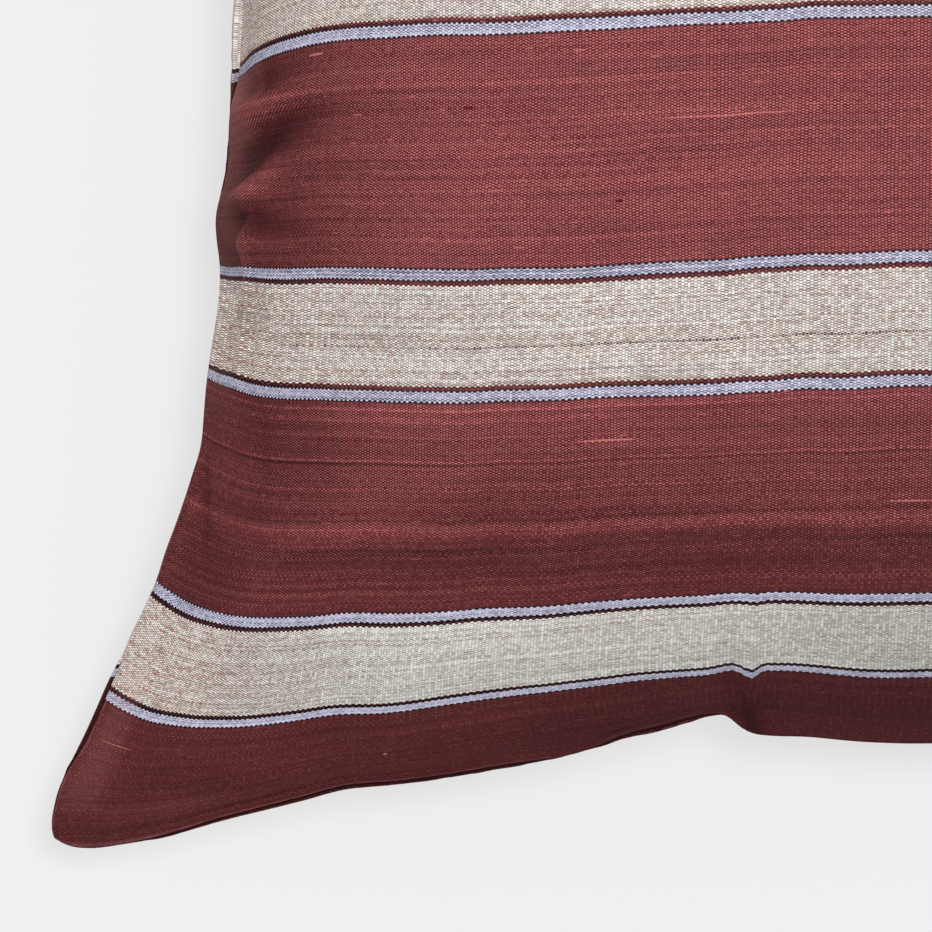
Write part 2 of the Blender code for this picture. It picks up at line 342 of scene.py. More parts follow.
def sewn_mesh(name, front, back, cloth_front, cloth_back):
    """One sealed mesh of two panel grids that share their rim, with each corner's place on the cloth."""
    rows, columns = front.shape[:2]
    grid = np.arange(rows * columns).reshape(rows, columns)
    back_grid = grid.copy()
    back_grid[1:-1, 1:-1] = rows * columns + np.arange((rows - 2) * (columns - 2)).reshape(rows - 2, -1)
    points = np.concatenate([front.reshape(-1, 3), back[1:-1, 1:-1].reshape(-1, 3)]) * MM

    def faces_of(index, order):
        corners = (index[:-1, :-1], index[:-1, 1:], index[1:, 1:], index[1:, :-1])
        return np.stack([corners[k] for k in order], axis=-1).reshape(-1, 4)

    mesh = bpy.data.meshes.new(name)
    faces = np.concatenate([faces_of(grid, (0, 1, 2, 3)), faces_of(back_grid, (3, 2, 1, 0))])
    mesh.from_pydata(points.tolist(), [], faces.tolist())
    places = np.concatenate([cloth_front.reshape(-1, 2)[faces_of(grid, (0, 1, 2, 3)).ravel()],
                             cloth_back.reshape(-1, 2)[faces_of(grid, (3, 2, 1, 0)).ravel()]])
    mesh.uv_layers.new(name="cloth").uv.foreach_set("vector", (places * MM).astype(np.float32).ravel())
    mesh.shade_smooth()
    return mesh


# The filling: the sewn cover is blown out by the pressure of what is in it. The cloth's own size
# holds it back, so it tightens over the crown and goes slack towards the seam.
FILLING_STEP = 8.0
FILLING_PRESSURE = 60.0
FILLING_FRAMES = 20
FILLING_CAP = 10.0
FILLING_FADE = 22.0
CLOTH_MASS = 0.05
CLOTH_TENSION = 15.0
CLOTH_COMPRESSION = 5.0
CLOTH_SHEAR = 5.0
CLOTH_BENDING = 2.0


def fill_cover():
    """How far the filling moves each point of a coarse cover, for the front and for the back."""
    places = np.linspace(-HALF, HALF, round(FLAT_SIDE / FILLING_STEP) + 1)
    across, up = np.meshgrid(places, places)
    start = [filled_panel(across, up, front) for front in (True, False)]
    cut = np.stack([*round_corners(across, up), np.zeros_like(across)], axis=-1)
    flat = np.stack([across, up], axis=-1)
    mesh = sewn_mesh("coarse_cover", *start, flat, flat)
    coarse = bpy.data.objects.new("coarse_cover", mesh)
    bpy.context.scene.collection.objects.link(coarse)
    rim = np.ones(across.shape, bool)
    rim[1:-1, 1:-1] = False
    sewn = coarse.vertex_groups.new(name="sewn")
    sewn.add(np.flatnonzero(rim).tolist(), 1.0, "REPLACE")
    coarse.shape_key_add(name="filled")
    as_cut = coarse.shape_key_add(name="as_cut")
    cut_points = np.concatenate([cut.reshape(-1, 3), cut[1:-1, 1:-1].reshape(-1, 3)]) * MM
    as_cut.data.foreach_set("co", cut_points.ravel())
    cloth = coarse.modifiers.new("filling", "CLOTH")
    cloth.settings.vertex_group_mass = "sewn"
    cloth.settings.rest_shape_key = as_cut
    cloth.settings.use_pressure = True
    cloth.settings.uniform_pressure_force = FILLING_PRESSURE
    cloth.settings.effector_weights.gravity = 0
    cloth.settings.mass = CLOTH_MASS
    cloth.settings.tension_stiffness = CLOTH_TENSION
    cloth.settings.compression_stiffness = CLOTH_COMPRESSION
    cloth.settings.shear_stiffness = CLOTH_SHEAR
    cloth.settings.bending_stiffness = CLOTH_BENDING
    cloth.collision_settings.use_collision = False
    scene = bpy.context.scene
    for step in range(1, FILLING_FRAMES + 1):
        scene.frame_set(step)
    settled = coarse.evaluated_get(bpy.context.evaluated_depsgraph_get()).data
    points = np.empty(len(settled.vertices) * 3, np.float32)
    settled.vertices.foreach_get("co", points)
    points = points.reshape(-1, 3) / MM
    scene.frame_set(1)
    bpy.data.objects.remove(coarse)
    front = points[:across.size].reshape(start[0].shape)
    back = front.copy()
    back[1:-1, 1:-1] = points[across.size:].reshape(across.shape[0] - 2, -1, 3)
    moves = []
    inward = HALF - np.maximum(np.abs(across), np.abs(up))
    for shape, begun in zip((front, back), start):
        move = shape - begun
        size = np.linalg.norm(move, axis=-1, keepdims=True) + 1e-9
        fade = (1 - np.exp(-((inward / FILLING_FADE) ** 2)))[..., None]
        moves.append(move / size * FILLING_CAP * np.tanh(size / FILLING_CAP) * fade)
    return places, moves


def spread(field, coarse, rows, columns):
    """A field known on the coarse cover, read at the rows and columns of the fine one."""
    by_row = curve_through(rows, coarse, field)
    return np.swapaxes(curve_through(columns, coarse, np.swapaxes(by_row, 0, 1)), 0, 1)


def outward_normals(points):
    """Unit normals of a panel grid, pointing up out of the front panel."""
    slope_across, slope_up = np.gradient(points, axis=1), np.gradient(points, axis=0)
    normal = np.cross(slope_across, slope_up)
    for row, column in ((0, 0), (0, -1), (-1, 0), (-1, -1)):
        normal[row, column] = normal[row + (1 if row == 0 else -1), column + (1 if column == 0 else -1)]
    return normal / np.linalg.norm(normal, axis=-1, keepdims=True)


def rolled_edge(across, up):
    """How far the cloth beside the seam stands out along its own normal."""
    share = (HALF - np.maximum(np.abs(across), np.abs(up))) / ROLL_WIDTH
    return ROLL_HEIGHT * share * np.exp(1 - share)


# Uneven filling under the cloth, and the gathers and small puckers that run in from the stitching.
#         size  height
LUMPS = ((88.0, 0.90),
         (46.0, 0.45),
         (24.0, 0.16))
LUMP_FADE = 14.0
FRONT_LAYER, BACK_LAYER = 3.7, 41.3
#           spacing  reach  height
GATHERS = ((27.0, 34.0, 1.30),
           (12.5, 17.0, 0.75),
           (6.2, 8.0, 0.38),
           (3.4, 3.6, 0.22))
# A gather changes its course this many reaches in from the seam. Below this share of its height it is
# left out.
GATHER_LENGTH = 5
FADED_OUT = 0.02
# Stretches of seam where the gathers are weak or strong: their size along it and inwards.
CALM_STRETCH = (70.0, 300.0)
# How strong the gathers are where the photo shows a calm edge: on the left and lower sides, up to here.
CALM = 0.35
CALM_UP_TO = 60.0
CALM_SIDES = (0, 2)


def soft_noise(x, y, layer):
    """Perlin noise around 0 at each point, in a layer of its own."""
    flat = zip(x.ravel().tolist(), y.ravel().tolist())
    return np.array([noise.noise((a, b, layer)) for a, b in flat]).reshape(x.shape)


def small_relief(across, up, front):
    """Heights of the lumps, gathers and puckers, in millimetres along the cloth's normal."""
    relief = np.zeros_like(across)
    layer = FRONT_LAYER if front else BACK_LAYER
    inward = HALF - np.maximum(np.abs(across), np.abs(up))
    for size, height in LUMPS:
        relief += height * soft_noise(across / size, up / size, layer + size)
    relief *= 1 - np.exp(-inward / LUMP_FADE)
    for number, (along, distance) in enumerate(sides_of(across, up).values()):
        for spacing, reach, height in GATHERS:
            near = np.clip(distance, 0, None) / reach
            strength = height * near * np.exp(1 - near)
            seen = strength > height * FADED_OUT
            place, depth = along[seen], distance[seen]
            fold_layer = layer + number * 9 + spacing
            fold = soft_noise(place / spacing, depth / (reach * GATHER_LENGTH), fold_layer)
            along_seam, in_from_seam = CALM_STRETCH
            calm_layer = layer + number * 5 + 60
            calm = 0.5 + soft_noise(place / along_seam, depth / in_from_seam, calm_layer)
            if front:
                calm = calm * (1 - (1 - CALM) * (place < CALM_UP_TO) * (number in CALM_SIDES))
            relief[seen] += strength[seen] * fold * calm * 2
    return relief


# The stripes have slipped a little on the cloth. A row is a height on the panel, then how far up the
# stripes lie there, at these places across it.
DRIFT_ACROSS = np.array((-250.0, -225.0, -190.0, -150.0, -125.0, -100.0, -62.0, -50.0, -35.0, -10.0, 60.0))
DRIFT_UP = np.array((-250.0, -200.0, -170.0, -102.0, -73.0, -8.0, 60.0, 250.0))
DRIFT = np.array((( 0.2, -1.8, -2.6, -2.2, -1.2, -1.3, -3.0, -1.0,  0.3, 0.0, 0.0),
                  ( 0.2, -1.8, -2.6, -2.2, -1.2, -1.3, -3.0, -1.0,  0.3, 0.0, 0.0),
                  ( 2.4,  2.2,  1.9,  1.3,  1.0, -0.9, -2.9, -2.0, -1.2, 0.0, 0.0),
                  ( 3.3,  5.2,  5.2,  3.1,  2.0,  0.9, -0.6, -0.2,  1.2, 3.0, 0.0),
                  ( 1.6,  3.4,  3.4,  1.2,  0.2, -0.9, -1.2, -0.4,  0.6, 2.0, 0.0),
                  (-0.7, -0.4, -0.2, -1.1, -1.9, -1.7, -1.0, -0.5,  0.4, 0.7, 0.4),
                  ( 0.0,  0.0,  0.0,  0.0,  0.0,  0.0,  0.0,  0.0,  0.0, 0.0, 0.0),
                  ( 0.0,  0.0,  0.0,  0.0,  0.0,  0.0,  0.0,  0.0,  0.0, 0.0, 0.0)))
BACK_CUT_FURTHER = (700.0, 2.5)
BACK_EASED_IN = 0.0525


def place_on_cloth(across, up, front):
    """Where on the bolt of cloth each point of a panel was cut, in millimetres."""
    across, up = round_corners(across, up)
    if not front:
        eased = BACK_EASED_IN * np.minimum(up, 0) * (0.5 - across / FLAT_SIDE)
        return np.stack([across + BACK_CUT_FURTHER[0], up + BACK_CUT_FURTHER[1] + eased], axis=-1)
    by_up = curve_through(up, DRIFT_UP, DRIFT)
    k = np.clip(np.searchsorted(DRIFT_ACROSS, across) - 1, 0, len(DRIFT_ACROSS) - 2)
    t = np.clip((across - DRIFT_ACROSS[k]) / (DRIFT_ACROSS[k + 1] - DRIFT_ACROSS[k]), 0, 1)
    t = t * t * (3 - 2 * t)
    left = np.take_along_axis(by_up, k[..., None], axis=-1)[..., 0]
    right = np.take_along_axis(by_up, k[..., None] + 1, axis=-1)[..., 0]
    return np.stack([across, up - (left + (right - left) * t)], axis=-1)


# The weave is open over the crown, where the cloth is stretched, and closes towards the sides. The same
# value carries painted shade, as more closing in the troughs of the gathers, on turned strips and in
# creases, and painted light, as less closing on high ridges; past 1 it darkens the yarns as painted shade.
CLOSED_FROM = 104.0
CLOSED_AT = 180.0
CLOSED_WANDER = 22.0
CLOSED_CELL = (60.0, 40.0)
CLOSED_LAYER = 88.0
SIDE_FROM = 140.0
SIDE_AT = 215.0
CLOSED_AT_SIDE = 0.8
TROUGH_SHADE_PAINTED = 1.1
DEEP_TROUGH = 2.4
RIDGE_LIGHT_PAINTED = 0.7
HIGH_RIDGE = 3.0
MOST_CLOSED = 2.2
STRIP_BLEND = 2.0
# Turned strips beside a seam, where more closing paints shade and less closing paints light: side, from, to,
# how far in, by how much more the weave closes.
STRIPS = (("left",  -77.0,  -52.0,  21.5,  0.55),
          ("left",  -27.0,  -12.0,  27.0, -0.90),
          ("left",  -236.0, -192.0, 17.0, -0.12),
          ("lower", -108.0,  250.0, 45.0,  0.30))
# Shaded creases that run in from a seam: side, along, lean, half width, reach, by how much more.
CREASES = (("lower", -48.6, -0.04, 2.4, 40.0, 0.9),)


def closing_with_painted_light(across, up, front):
    """How closely the warp yarns lie together, from 0 where the weft shows well to 1 and more, with painted
    shade in troughs, strips and creases and painted light on ridges.
    """
    wander = CLOSED_WANDER * soft_noise(across / CLOSED_CELL[0], up / CLOSED_CELL[1], CLOSED_LAYER)
    reach = np.clip((np.abs(up) + wander - CLOSED_FROM) / (CLOSED_AT - CLOSED_FROM), 0, 1)
    closed_and_painted_light = reach * reach * (3 - 2 * reach)
    side = np.clip((np.abs(across) - SIDE_FROM) / (SIDE_AT - SIDE_FROM), 0, 1)
    side = CLOSED_AT_SIDE * side * side * (3 - 2 * side)
    if not front:
        return np.maximum(closed_and_painted_light, side)
    raised = fold_shapes(across, up)[0]
    # Painted light on high ridges and painted shade in deep troughs.
    closed_and_painted_light = np.maximum(closed_and_painted_light, side - RIDGE_LIGHT_PAINTED * np.clip(raised / HIGH_RIDGE, 0, 1))
    closed_and_painted_light += TROUGH_SHADE_PAINTED * np.clip(-raised / DEEP_TROUGH, 0, 1)
    # Painted shade on turned strips and in creases, and painted light where a strip's amount is negative.
    for name, start, end, distance, amount in STRIPS:
        along, inward = sides_of(across, up)[name]
        closed_and_painted_light += amount * window(along, start, end) * (1 - np.tanh((inward - distance) / STRIP_BLEND)) / 2
    for name, place, lean, width, reach, amount in CREASES:
        along, inward = sides_of(across, up)[name]
        closed_and_painted_light += amount * np.exp(-(((along - place - lean * inward) / width) ** 2) - (inward / reach) ** 2)
    return np.clip(closed_and_painted_light, 0, MOST_CLOSED)


# The frame's origin lies under the middle of the outline.
TO_MIDDLE = (0.74, 0.61)

SEAM_ROWS = ((0, 0.5), (0.5, 1.0), (1.0, 1.6), (1.6, 2.4), (2.4, 3.4), (3.4, 5.0), (5.0, 7.5), (7.5, 10.0))
ROW_ZONES = ((-240, -76, 64), (-76, -8, 46), (-8, 240, 82))
COLUMN_ZONES = ((-240, -84, 72), (-84, -36, 32), (-36, 240, 92))


def fine_stations(zones):
    """Mesh lines of the finished cover: close together beside the seams, even between them."""
    low = tuple((start - HALF, end - HALF, 1) for start, end in SEAM_ROWS)
    high = tuple((HALF - end, HALF - start, 1) for start, end in reversed(SEAM_ROWS))
    return stations(low + zones + high)


rows, columns = fine_stations(ROW_ZONES), fine_stations(COLUMN_ZONES)
across, up = np.meshgrid(columns, rows)
panels = [filled_panel(across, up, front) for front in (True, False)]
to_middle = np.array([*TO_MIDDLE, 0.0])
coarse_places, moves = fill_cover()
panels = [panel + spread(move, coarse_places, rows, columns) for panel, move in zip(panels, moves)]
for side, panel in enumerate(panels):
    front = side == 0
    out = outward_normals(panel) * (1 if front else -1)
    relief = rolled_edge(across, up) + small_relief(across, up, front)
    if front:
        relief += fold_shapes(across, up)[0]
    panel += out * relief[..., None]
    panel += to_middle
    if not front:
        panel[..., 2] = soft_floor(panel[..., 2])
cover_mesh = sewn_mesh("cover", *panels, *(place_on_cloth(across, up, front) for front in (True, False)))
# The weave's closing, carrying painted shade and painted light, for the material to read.
note_on_points(cover_mesh, "closed_and_painted_light", *(closing_with_painted_light(across, up, front) for front in (True, False)))
from_seam = HALF - np.maximum(np.abs(across), np.abs(up))
note_on_points(cover_mesh, "from_seam", from_seam, from_seam)
cover = bpy.data.objects.new("cover", cover_mesh)
bpy.context.scene.collection.objects.link(cover)


# The cloth: a plain weave of fine, close warp yarns that run across the pillow and carry the stripes,
# and a thicker reddish weft that shows as dots between them, the more so where the cloth is stretched.


class Yarn:
    """A value in the cloth's shader. Arithmetic on it adds Math nodes."""

    def __init__(self, socket):
        self.socket = socket

    def node(self, kind, inputs, output=0, **settings):
        """Adds any other node: its settings first, then the values or links of its sockets."""
        tree = self.socket.id_data
        made = tree.nodes.new("ShaderNode" + kind)
        for name, value in settings.items():
            setattr(made, name, value)
        for key, value in inputs.items():
            if isinstance(value, Yarn):
                tree.links.new(value.socket, made.inputs[key])
            else:
                made.inputs[key].default_value = value
        return Yarn(made.outputs[output])

    def maths(self, operation, *others):
        return self.node("Math", dict(enumerate((self, *others))), operation=operation)

    def __add__(self, other):
        return self.maths("ADD", other)

    def __mul__(self, other):
        return self.maths("MULTIPLY", other)

    def __sub__(self, other):
        return self.maths("SUBTRACT", other)

    def __truediv__(self, other):
        return self.maths("DIVIDE", other)

    def __rsub__(self, other):
        return self * -1 + other

    __radd__ = __add__
    __rmul__ = __mul__

    def wave(self):
        return self.maths("SINE")

    def whole(self):
        return self.maths("FLOOR")

    def between(self, low, high):
        """0 below low, 1 above high, and a soft step between them."""
        return self.node("MapRange", {"Value": self, "From Min": low, "From Max": high},
                         interpolation_type="SMOOTHSTEP")

    def noise(self, across, up, detail=1.0):
        """Soft noise around 0, from about -0.5 to 0.5, at a place that is counted in its cells."""
        place = self.node("CombineXYZ", {0: across, 1: up})
        found = self.node("TexNoise", {"Vector": place, "Scale": 1.0, "Detail": detail},
                          noise_dimensions="2D")
        return found - 0.5

    def chance(self, other=0.0):
        """An even random value for each pair of whole numbers, from -0.5 to 0.5."""
        pair = self.node("CombineXYZ", {0: self, 1: other})
        return self.node("TexWhiteNoise", {"Vector": pair}, noise_dimensions="2D") - 0.5

    def mix(self, low, high):
        """A colour between two others, at this share."""
        return self.node("Mix", {0: self, 6: low, 7: high}, output=2, data_type="RGBA")

    def tint(self, colour):
        """A colour made lighter or darker by this value."""
        return self.node("VectorMath", {0: colour, 3: self}, operation="SCALE")


def clouds(x, y, length, width, detail=1.0):
    """Soft noise around 0 over the cloth, in patches this long along the stripes and this wide."""
    return x.noise(x / length, y / width, detail)


def away_from(x, y, across, up, half_length, half_width):
    """How far a place is from the middle of a long spot, squared, with 1 on the spot's outline."""
    return ((x - across) / half_length).maths("POWER", 2.0) + ((y - up) / half_width).maths("POWER", 2.0)


WARP_PITCH = 0.3533
WEFT_PITCH = 0.88
FIRST_STRIPE = -6.7
WARP_SWAY = 0.35
WEFT_SWAY = 2.4
# The wefts lie further apart where the middle cream stripe turns down over the left side, and more so at
# its very end: from where, and by how much for each millimetre. Then the stripe's two edges on the cloth.
APART_FROM, APART_BY = -178.0, 0.45
END_APART_FROM, END_APART_BY = -229.0, 0.28
APART_ABOVE = (-102.9, -102.7)
APART_BELOW = (-74.5, -74.7)


def lie_of_yarns(x, y):
    """The warp and the weft at a place, counted, and where the place lies on its float.

    Each warp yarn floats over every other weft, and its neighbours over the wefts between, so in one
    column a float can be up to two pitches wide before it meets the next one.
    """
    slack = clouds(x, y, 30, 6)
    spread_out = (APART_FROM - x).maths("MAXIMUM", 0.0) * APART_BY
    spread_out = spread_out + (END_APART_FROM - x).maths("MAXIMUM", 0.0) * END_APART_BY
    spread_out = spread_out * y.between(*APART_ABOVE) * y.between(*APART_BELOW)
    weft = (x + spread_out + clouds(x, y, 16, 90) * WEFT_SWAY) / WEFT_PITCH
    warp = (y - FIRST_STRIPE + slack * WARP_SWAY) / WARP_PITCH
    column = weft.whole()
    odd = column.maths("FLOORED_MODULO", 2.0)
    cell = (warp + odd) / 2
    number = cell.whole() * 2 - odd + 0.5
    from_float = ((cell - cell.whole()) * 2 - 1).maths("ABSOLUTE")
    along_float = ((weft - column) * math.pi).wave()
    return warp, column, odd, number, from_float, along_float


# The stripes as the warps are set up, from the first one upwards and over again. A blue stripe has a
# dark yarn on each side.
EDGE_YARN = ("edge", 1, (0.012, 0.008, 0.011), (0.110, 0.046, 0.050), 0.0)
#                    yarns  warp colour             weft colour            paleness
STRIPES = (("cream",    76, (0.870, 0.880, 0.825), (0.400, 0.180, 0.135), 1.0),
           ("maroon",    4, (0.030, 0.009, 0.011), (0.560, 0.160, 0.160), 0.0),
           EDGE_YARN,
           ("blue",      7, (0.690, 0.680, 0.860), (0.110, 0.100, 0.150), 0.6),
           EDGE_YARN,
           ("burgundy", 168, (0.118, 0.0245, 0.0275), (0.720, 0.204, 0.206), 0.0),
           EDGE_YARN,
           ("blue",      7, (0.690, 0.680, 0.860), (0.110, 0.100, 0.150), 0.6),
           EDGE_YARN,
           ("maroon",    4, (0.030, 0.009, 0.011), (0.560, 0.160, 0.160), 0.0))
YARNS = sum(stripe[1] for stripe in STRIPES)


def of_stripe(number, colours):
    """One colour for each stripe, read for the yarn of this number, and how pale that stripe is."""
    tree = number.socket.id_data
    ramp = tree.nodes.new("ShaderNodeValToRGB")
    ramp.color_ramp.interpolation = "CONSTANT"
    at = 0
    for place, (stripe, colour) in enumerate(zip(STRIPES, colours)):
        stop = ramp.color_ramp.elements[place] if place < 2 else ramp.color_ramp.elements.new(at / YARNS)
        stop.position = at / YARNS
        stop.color = (*colour, stripe[4])
        at += stripe[1]
    tree.links.new((number / YARNS).maths("FRACT").socket, ramp.inputs[0])
    return Yarn(ramp.outputs["Color"]), Yarn(ramp.outputs["Alpha"])


# Where the cloth turns down at the left and right. At their left ends the cream stripes are woven more
# openly, the lowest one in flecks.
SIDE_SLOPE = (180.0, 228.0)
LEFT_END = (-140.0, -190.0)
LOWEST_STRIPE = (-140.0, -160.0)
FLECKS, FLECKS_OPEN = 0.9, 0.30
END_OPEN, SLOPE_OPEN = 0.14, 0.18
# The row of a missing warp. It is faint at its left end, and shows as dark dots between the floats.
GAP_ROW = -91.5
GAP_HALF = 0.62
GAP_EDGE = (1.0, 0.3)
GAP_LEFT_END = (-222.0, -190.0)
GAP_ON_FLOAT = (0.40, 0.85)
GAP_DARKER = 0.70


def missing_warp(x, y, along_float):
    """How much the row of the missing warp shows, from 0 to 1."""
    gap = ((y - GAP_ROW) / GAP_HALF).maths("ABSOLUTE").between(*GAP_EDGE) * x.between(*GAP_LEFT_END)
    patchy = x.noise(x / 14, 0.0).between(-0.2, 0.1) * 0.5 + 0.5
    return gap * along_float.between(*GAP_ON_FLOAT) * patchy


# Half the width of a warp float in pitches, and what makes it wider or narrower. The reed that beats the
# wefts in leaves a fine gap at every third warp.
FLOAT_HALF = 0.56
WIDER_CLOSED = 0.42
PALE_STAYS_OPEN = 0.60
WIDER_BY_CHANCE = 0.32
WARPS_IN_REED = 3.0
REED_GAP = (0.55, 0.8)
NARROWER_AT_REED = 0.12
NARROWER_IN_GAP = 0.50
WIDER_IN_ROW = 0.70
WIDER_IN_CLUMP = 0.30
WIDER_IN_MIDDLE = 0.06
# Where the weft comes into sight: beside a float, in pitches past its half width, and past its ends.
FLOAT_EDGE = (-0.12, 0.16)
FLOAT_END = (0.0, 0.5)

# By how much the yarns are lighter or darker: along rows, in broad bands and patches, from weft to weft
# and from yarn to yarn. The steps through the noise keep it from running on from one yarn to the next.
NEXT_WEFT = 5.7
NEXT_WARP = 3.1
ROW_TONE = 0.75
BAND_TONE = 0.55
PATCH_TONE = 0.24
WEFT_TONE = 0.10
ODD_WEFT_DARKER = 0.06
YARN_TONE = 0.30
PALE_CALMER = 0.5
# Painted light on the pale stripes where the weave closes, and painted shade where the closing passes 1.
PALE_CLOSED_LIGHTER = 0.12
SHADED_DARKER = 0.5
CLOTH_TONE = 0.84
# Rows that are lighter or darker than the rest: height on the cloth, half width, by how much.
ROWS = ((-18.7, 0.45, -0.10), (-22.8, 0.45, 0.14), (-27.0, 0.45, -0.16), (-38.4, 0.40, 0.14),
        (-42.5, 0.40, -0.14), (-48.7, 1.50, 0.07), (-51.5, 0.80, -0.12), (-62.7, 0.80, 0.10),
        (-70.4, 0.40, -0.16), (-84.6, 0.40, -0.13), (-93.9, 0.40, 0.10), (-96.8, 0.40, -0.08),
        (-108.5, 0.50, 0.50), (-111.4, 1.20, 0.14), (-122.4, 0.50, 0.55), (-123.2, 0.40, -0.35),
        (-130.1, 0.50, 0.40), (-132.0, 0.50, -0.16), (-138.8, 0.50, -0.20), (-125.4, 22.0, -0.12),
        (-141.4, 0.60, 0.22), (-142.0, 2.40, 0.32), (-147.0, 0.70, -0.24), (-161.4, 5.50, 0.12),
        (-181.7, 0.50, -0.08), (-194.0, 6.00, -0.12), (-211.4, 3.00, 0.10))
ROW_EDGE = (1.1, 0.3)
# Parts of the cloth that are lighter or darker: across, up, half length, half width, by how much. Two are
# painted shade: the one at (-221, -82) in a crease on the left and the one at (10, -216) on the steep lower
# rim.
PATCHES = ((-185.0, -182.0, 34.0, 16.0, -0.15), (14.0, -182.0, 62.0, 18.0, -0.20),
           (-232.0, -126.0, 26.0, 16.0, 0.22), (-226.0, -158.0, 26.0, 10.0, -0.20),
           (10.0, -216.0, 70.0, 22.0, -0.13), (-236.0, -238.0, 26.0, 12.0, -0.14),
           (-80.0, -150.0, 130.0, 7.0, -0.14), (-207.0, -224.0, 24.0, 9.0, -0.14),
           (-219.0, -43.0, 15.0, 8.0, 0.24), (-221.0, -82.0, 10.0, 10.0, -0.16))
PATCH_EDGE = (1.3, 0.2)

# How round the yarns look: the light on a float's top and the shade at its ends and edges. The closer
# the weave, the flatter they are, the pale ones less so.
ROUNDNESS = 0.31
PALE_ROUNDER = 0.07
FLATTER_CLOSED = 0.24
PALE_KEEPS, PALE_KEEPS_LEFT = 0.4, 0.5
MEAN_ALONG, LIGHT_ALONG = 0.64, 1.7
MEAN_ACROSS, LIGHT_ACROSS = 0.5, 0.8

# Colours of single thick yarns and knots, and of the cloth beside the seam where it is paler, carries a
# painted sheen or lies in painted shade.
SALMON = (0.720, 0.204, 0.206, 1.0)
ROSE = (0.280, 0.105, 0.105, 1.0)
PAINTED_SHEEN = (0.330, 0.180, 0.165, 1.0)
PALE_EDGE = (0.800, 0.560, 0.520, 1.0)
DARK_KNOT = (0.150, 0.010, 0.014, 1.0)
DARK_CREASE = (0.016, 0.004, 0.005, 1.0)
# Slubs are the yarns' thick places: those that come by chance, and the ones that show most, a knot or
# two among them: place across and up the cloth, half length, half width, colour.
SLUB_LENGTH = 7.0
SLUB_RARITY = (0.27, 0.32)
SLUB_HIDDEN_CLOSED = 0.7
SLUB_PALER = 0.6
SLUBS = ((-190.0, -13.5, 3.6, 0.30, "light"), (-90.6, -117.8, 8.5, 0.30, "light"),
         (-10.5, -137.0, 6.5, 0.30, "light"), (-60.0, -33.8, 19.0, 0.22, "light"),
         (-88.0, -54.0, 1.2, 0.45, "dark"), (-133.5, -29.0, 2.2, 0.40, "dark"),
         (-146.0, -224.0, 0.6, 0.55, "light"), (-237.0, -212.0, 7.0, 0.13, "light"))
SLUB_EDGE = (1.2, 0.5)

# Lines beside the seam that are paler or darker: side, from, to, how far in, half width, how much paler
# (darker if negative). The darker ones are painted shade in creases, and the one 23.5 mm in on the left is a
# painted highlight on a ridge's crest. They show on the left and lower sides alone.
LINES = (("left", -16.0, 300.0, 0.7, 0.8, 0.80), ("left", -78.0, -60.0, 23.5, 0.8, 0.50),
         ("left", -236.0, -188.0, 9.0, 9.0, 0.22), ("left", -188.0, -110.0, 1.0, 0.8, 0.50),
         ("lower", -244.0, -110.0, 1.6, 1.0, 0.35), ("lower", -90.0, -64.0, 8.5, 1.3, -0.65),
         ("lower", -90.0, -64.0, 4.0, 2.0, 0.20))
LINE_FADE = 4.0
LINE_EDGE = (1.0, 0.2)
LINES_BEYOND = (-190.0, -205.0)
# Painted sheen on the turned sides up to some way from their middles, painted shade on the back panel's rim,
# the paler ring along the rolled edge and painted shade in the groove of the seam: the distances from the
# seam between which each comes or goes, and how strong it is. The back panel was cut from the bolt past the
# places given for it.
SHEEN_FADES, SHEEN, SHEEN_CLOSED = (6.0, 30.0), 0.42, 0.20
SHEEN_ENDS = (80.0, 130.0)
RIM_FADES, RIM_SHADE = (3.0, 7.0), 0.6
BACK_PANEL = (380.0, 400.0)
RIM_PALE_STARTS, RIM_PALE_FADES = (0.7, 1.0), (1.3, 2.1)
RIM_PALER, PALE_RIM_PALER = 0.30, 0.40
GROOVE_FADES, GROOVE_SHADE = (0.35, 0.95), 0.6


def beside_seam(colour, x, y, from_seam, closed_and_painted_light, side, paleness):
    """The cloth's colour with its painted sheen, its paler lines and rim, a painted highlight, and painted
    shade in creases, on the back rim and in the groove along the seam.
    """
    # Painted sheen on the turned sides, away from their ends.
    in_middle = 1 - y.maths("ABSOLUTE").between(*SHEEN_ENDS)
    painted_sheen = (1 - from_seam.between(*SHEEN_FADES)) * side * in_middle * (1 - paleness)
    colour = (painted_sheen * (SHEEN - closed_and_painted_light * SHEEN_CLOSED)).mix(colour, PAINTED_SHEEN)
    paler = paleness.mix(ROSE, PALE_EDGE)
    # Paler lines, and darker lines of painted crease shade; one paler line is a painted highlight on a
    # ridge's crest.
    for side_name, start, end, distance, half, amount in LINES:
        along, outwards = (y, x) if side_name == "left" else (x, y)
        ends = (along.between(start - LINE_FADE, start + LINE_FADE)
                * along.between(end + LINE_FADE, end - LINE_FADE))
        near = ((from_seam - distance) / half).maths("ABSOLUTE").between(*LINE_EDGE) * ends
        near = near * outwards.between(*LINES_BEYOND) * abs(amount)
        colour = near.mix(colour, paler if amount > 0 else DARK_CREASE)
    behind = x.between(*BACK_PANEL) * (1 - from_seam.between(*RIM_FADES)) * (1 - paleness)
    colour = (behind * RIM_SHADE).mix(colour, DARK_CREASE)
    # A paler ring along the rolled edge beside the seam, broken up in patches.
    rim_patches = (clouds(x, y, 5, 5) * 2 + 0.45).between(0.0, 1.0)
    paler_rim = from_seam.between(*RIM_PALE_STARTS) * (1 - from_seam.between(*RIM_PALE_FADES)) * rim_patches
    colour = (paler_rim * (RIM_PALER + paleness * PALE_RIM_PALER)).mix(colour, paleness.mix(SALMON, PALE_EDGE))
    groove = (1 - from_seam.between(*GROOVE_FADES)) * (1 - paleness)
    return (groove * GROOVE_SHADE).mix(colour, DARK_CREASE)


# The relief of the yarns, its height in millimetres and the rest in shares of it, and the finish of the
# dry, unglazed cotton.
YARN_HEIGHT = 0.1
YARN_BUMP = 0.6
ROUND_ACROSS = 0.7
SLUB_HEIGHT = 0.5
ROUGHNESS = 0.86
GLOSS = 0.08


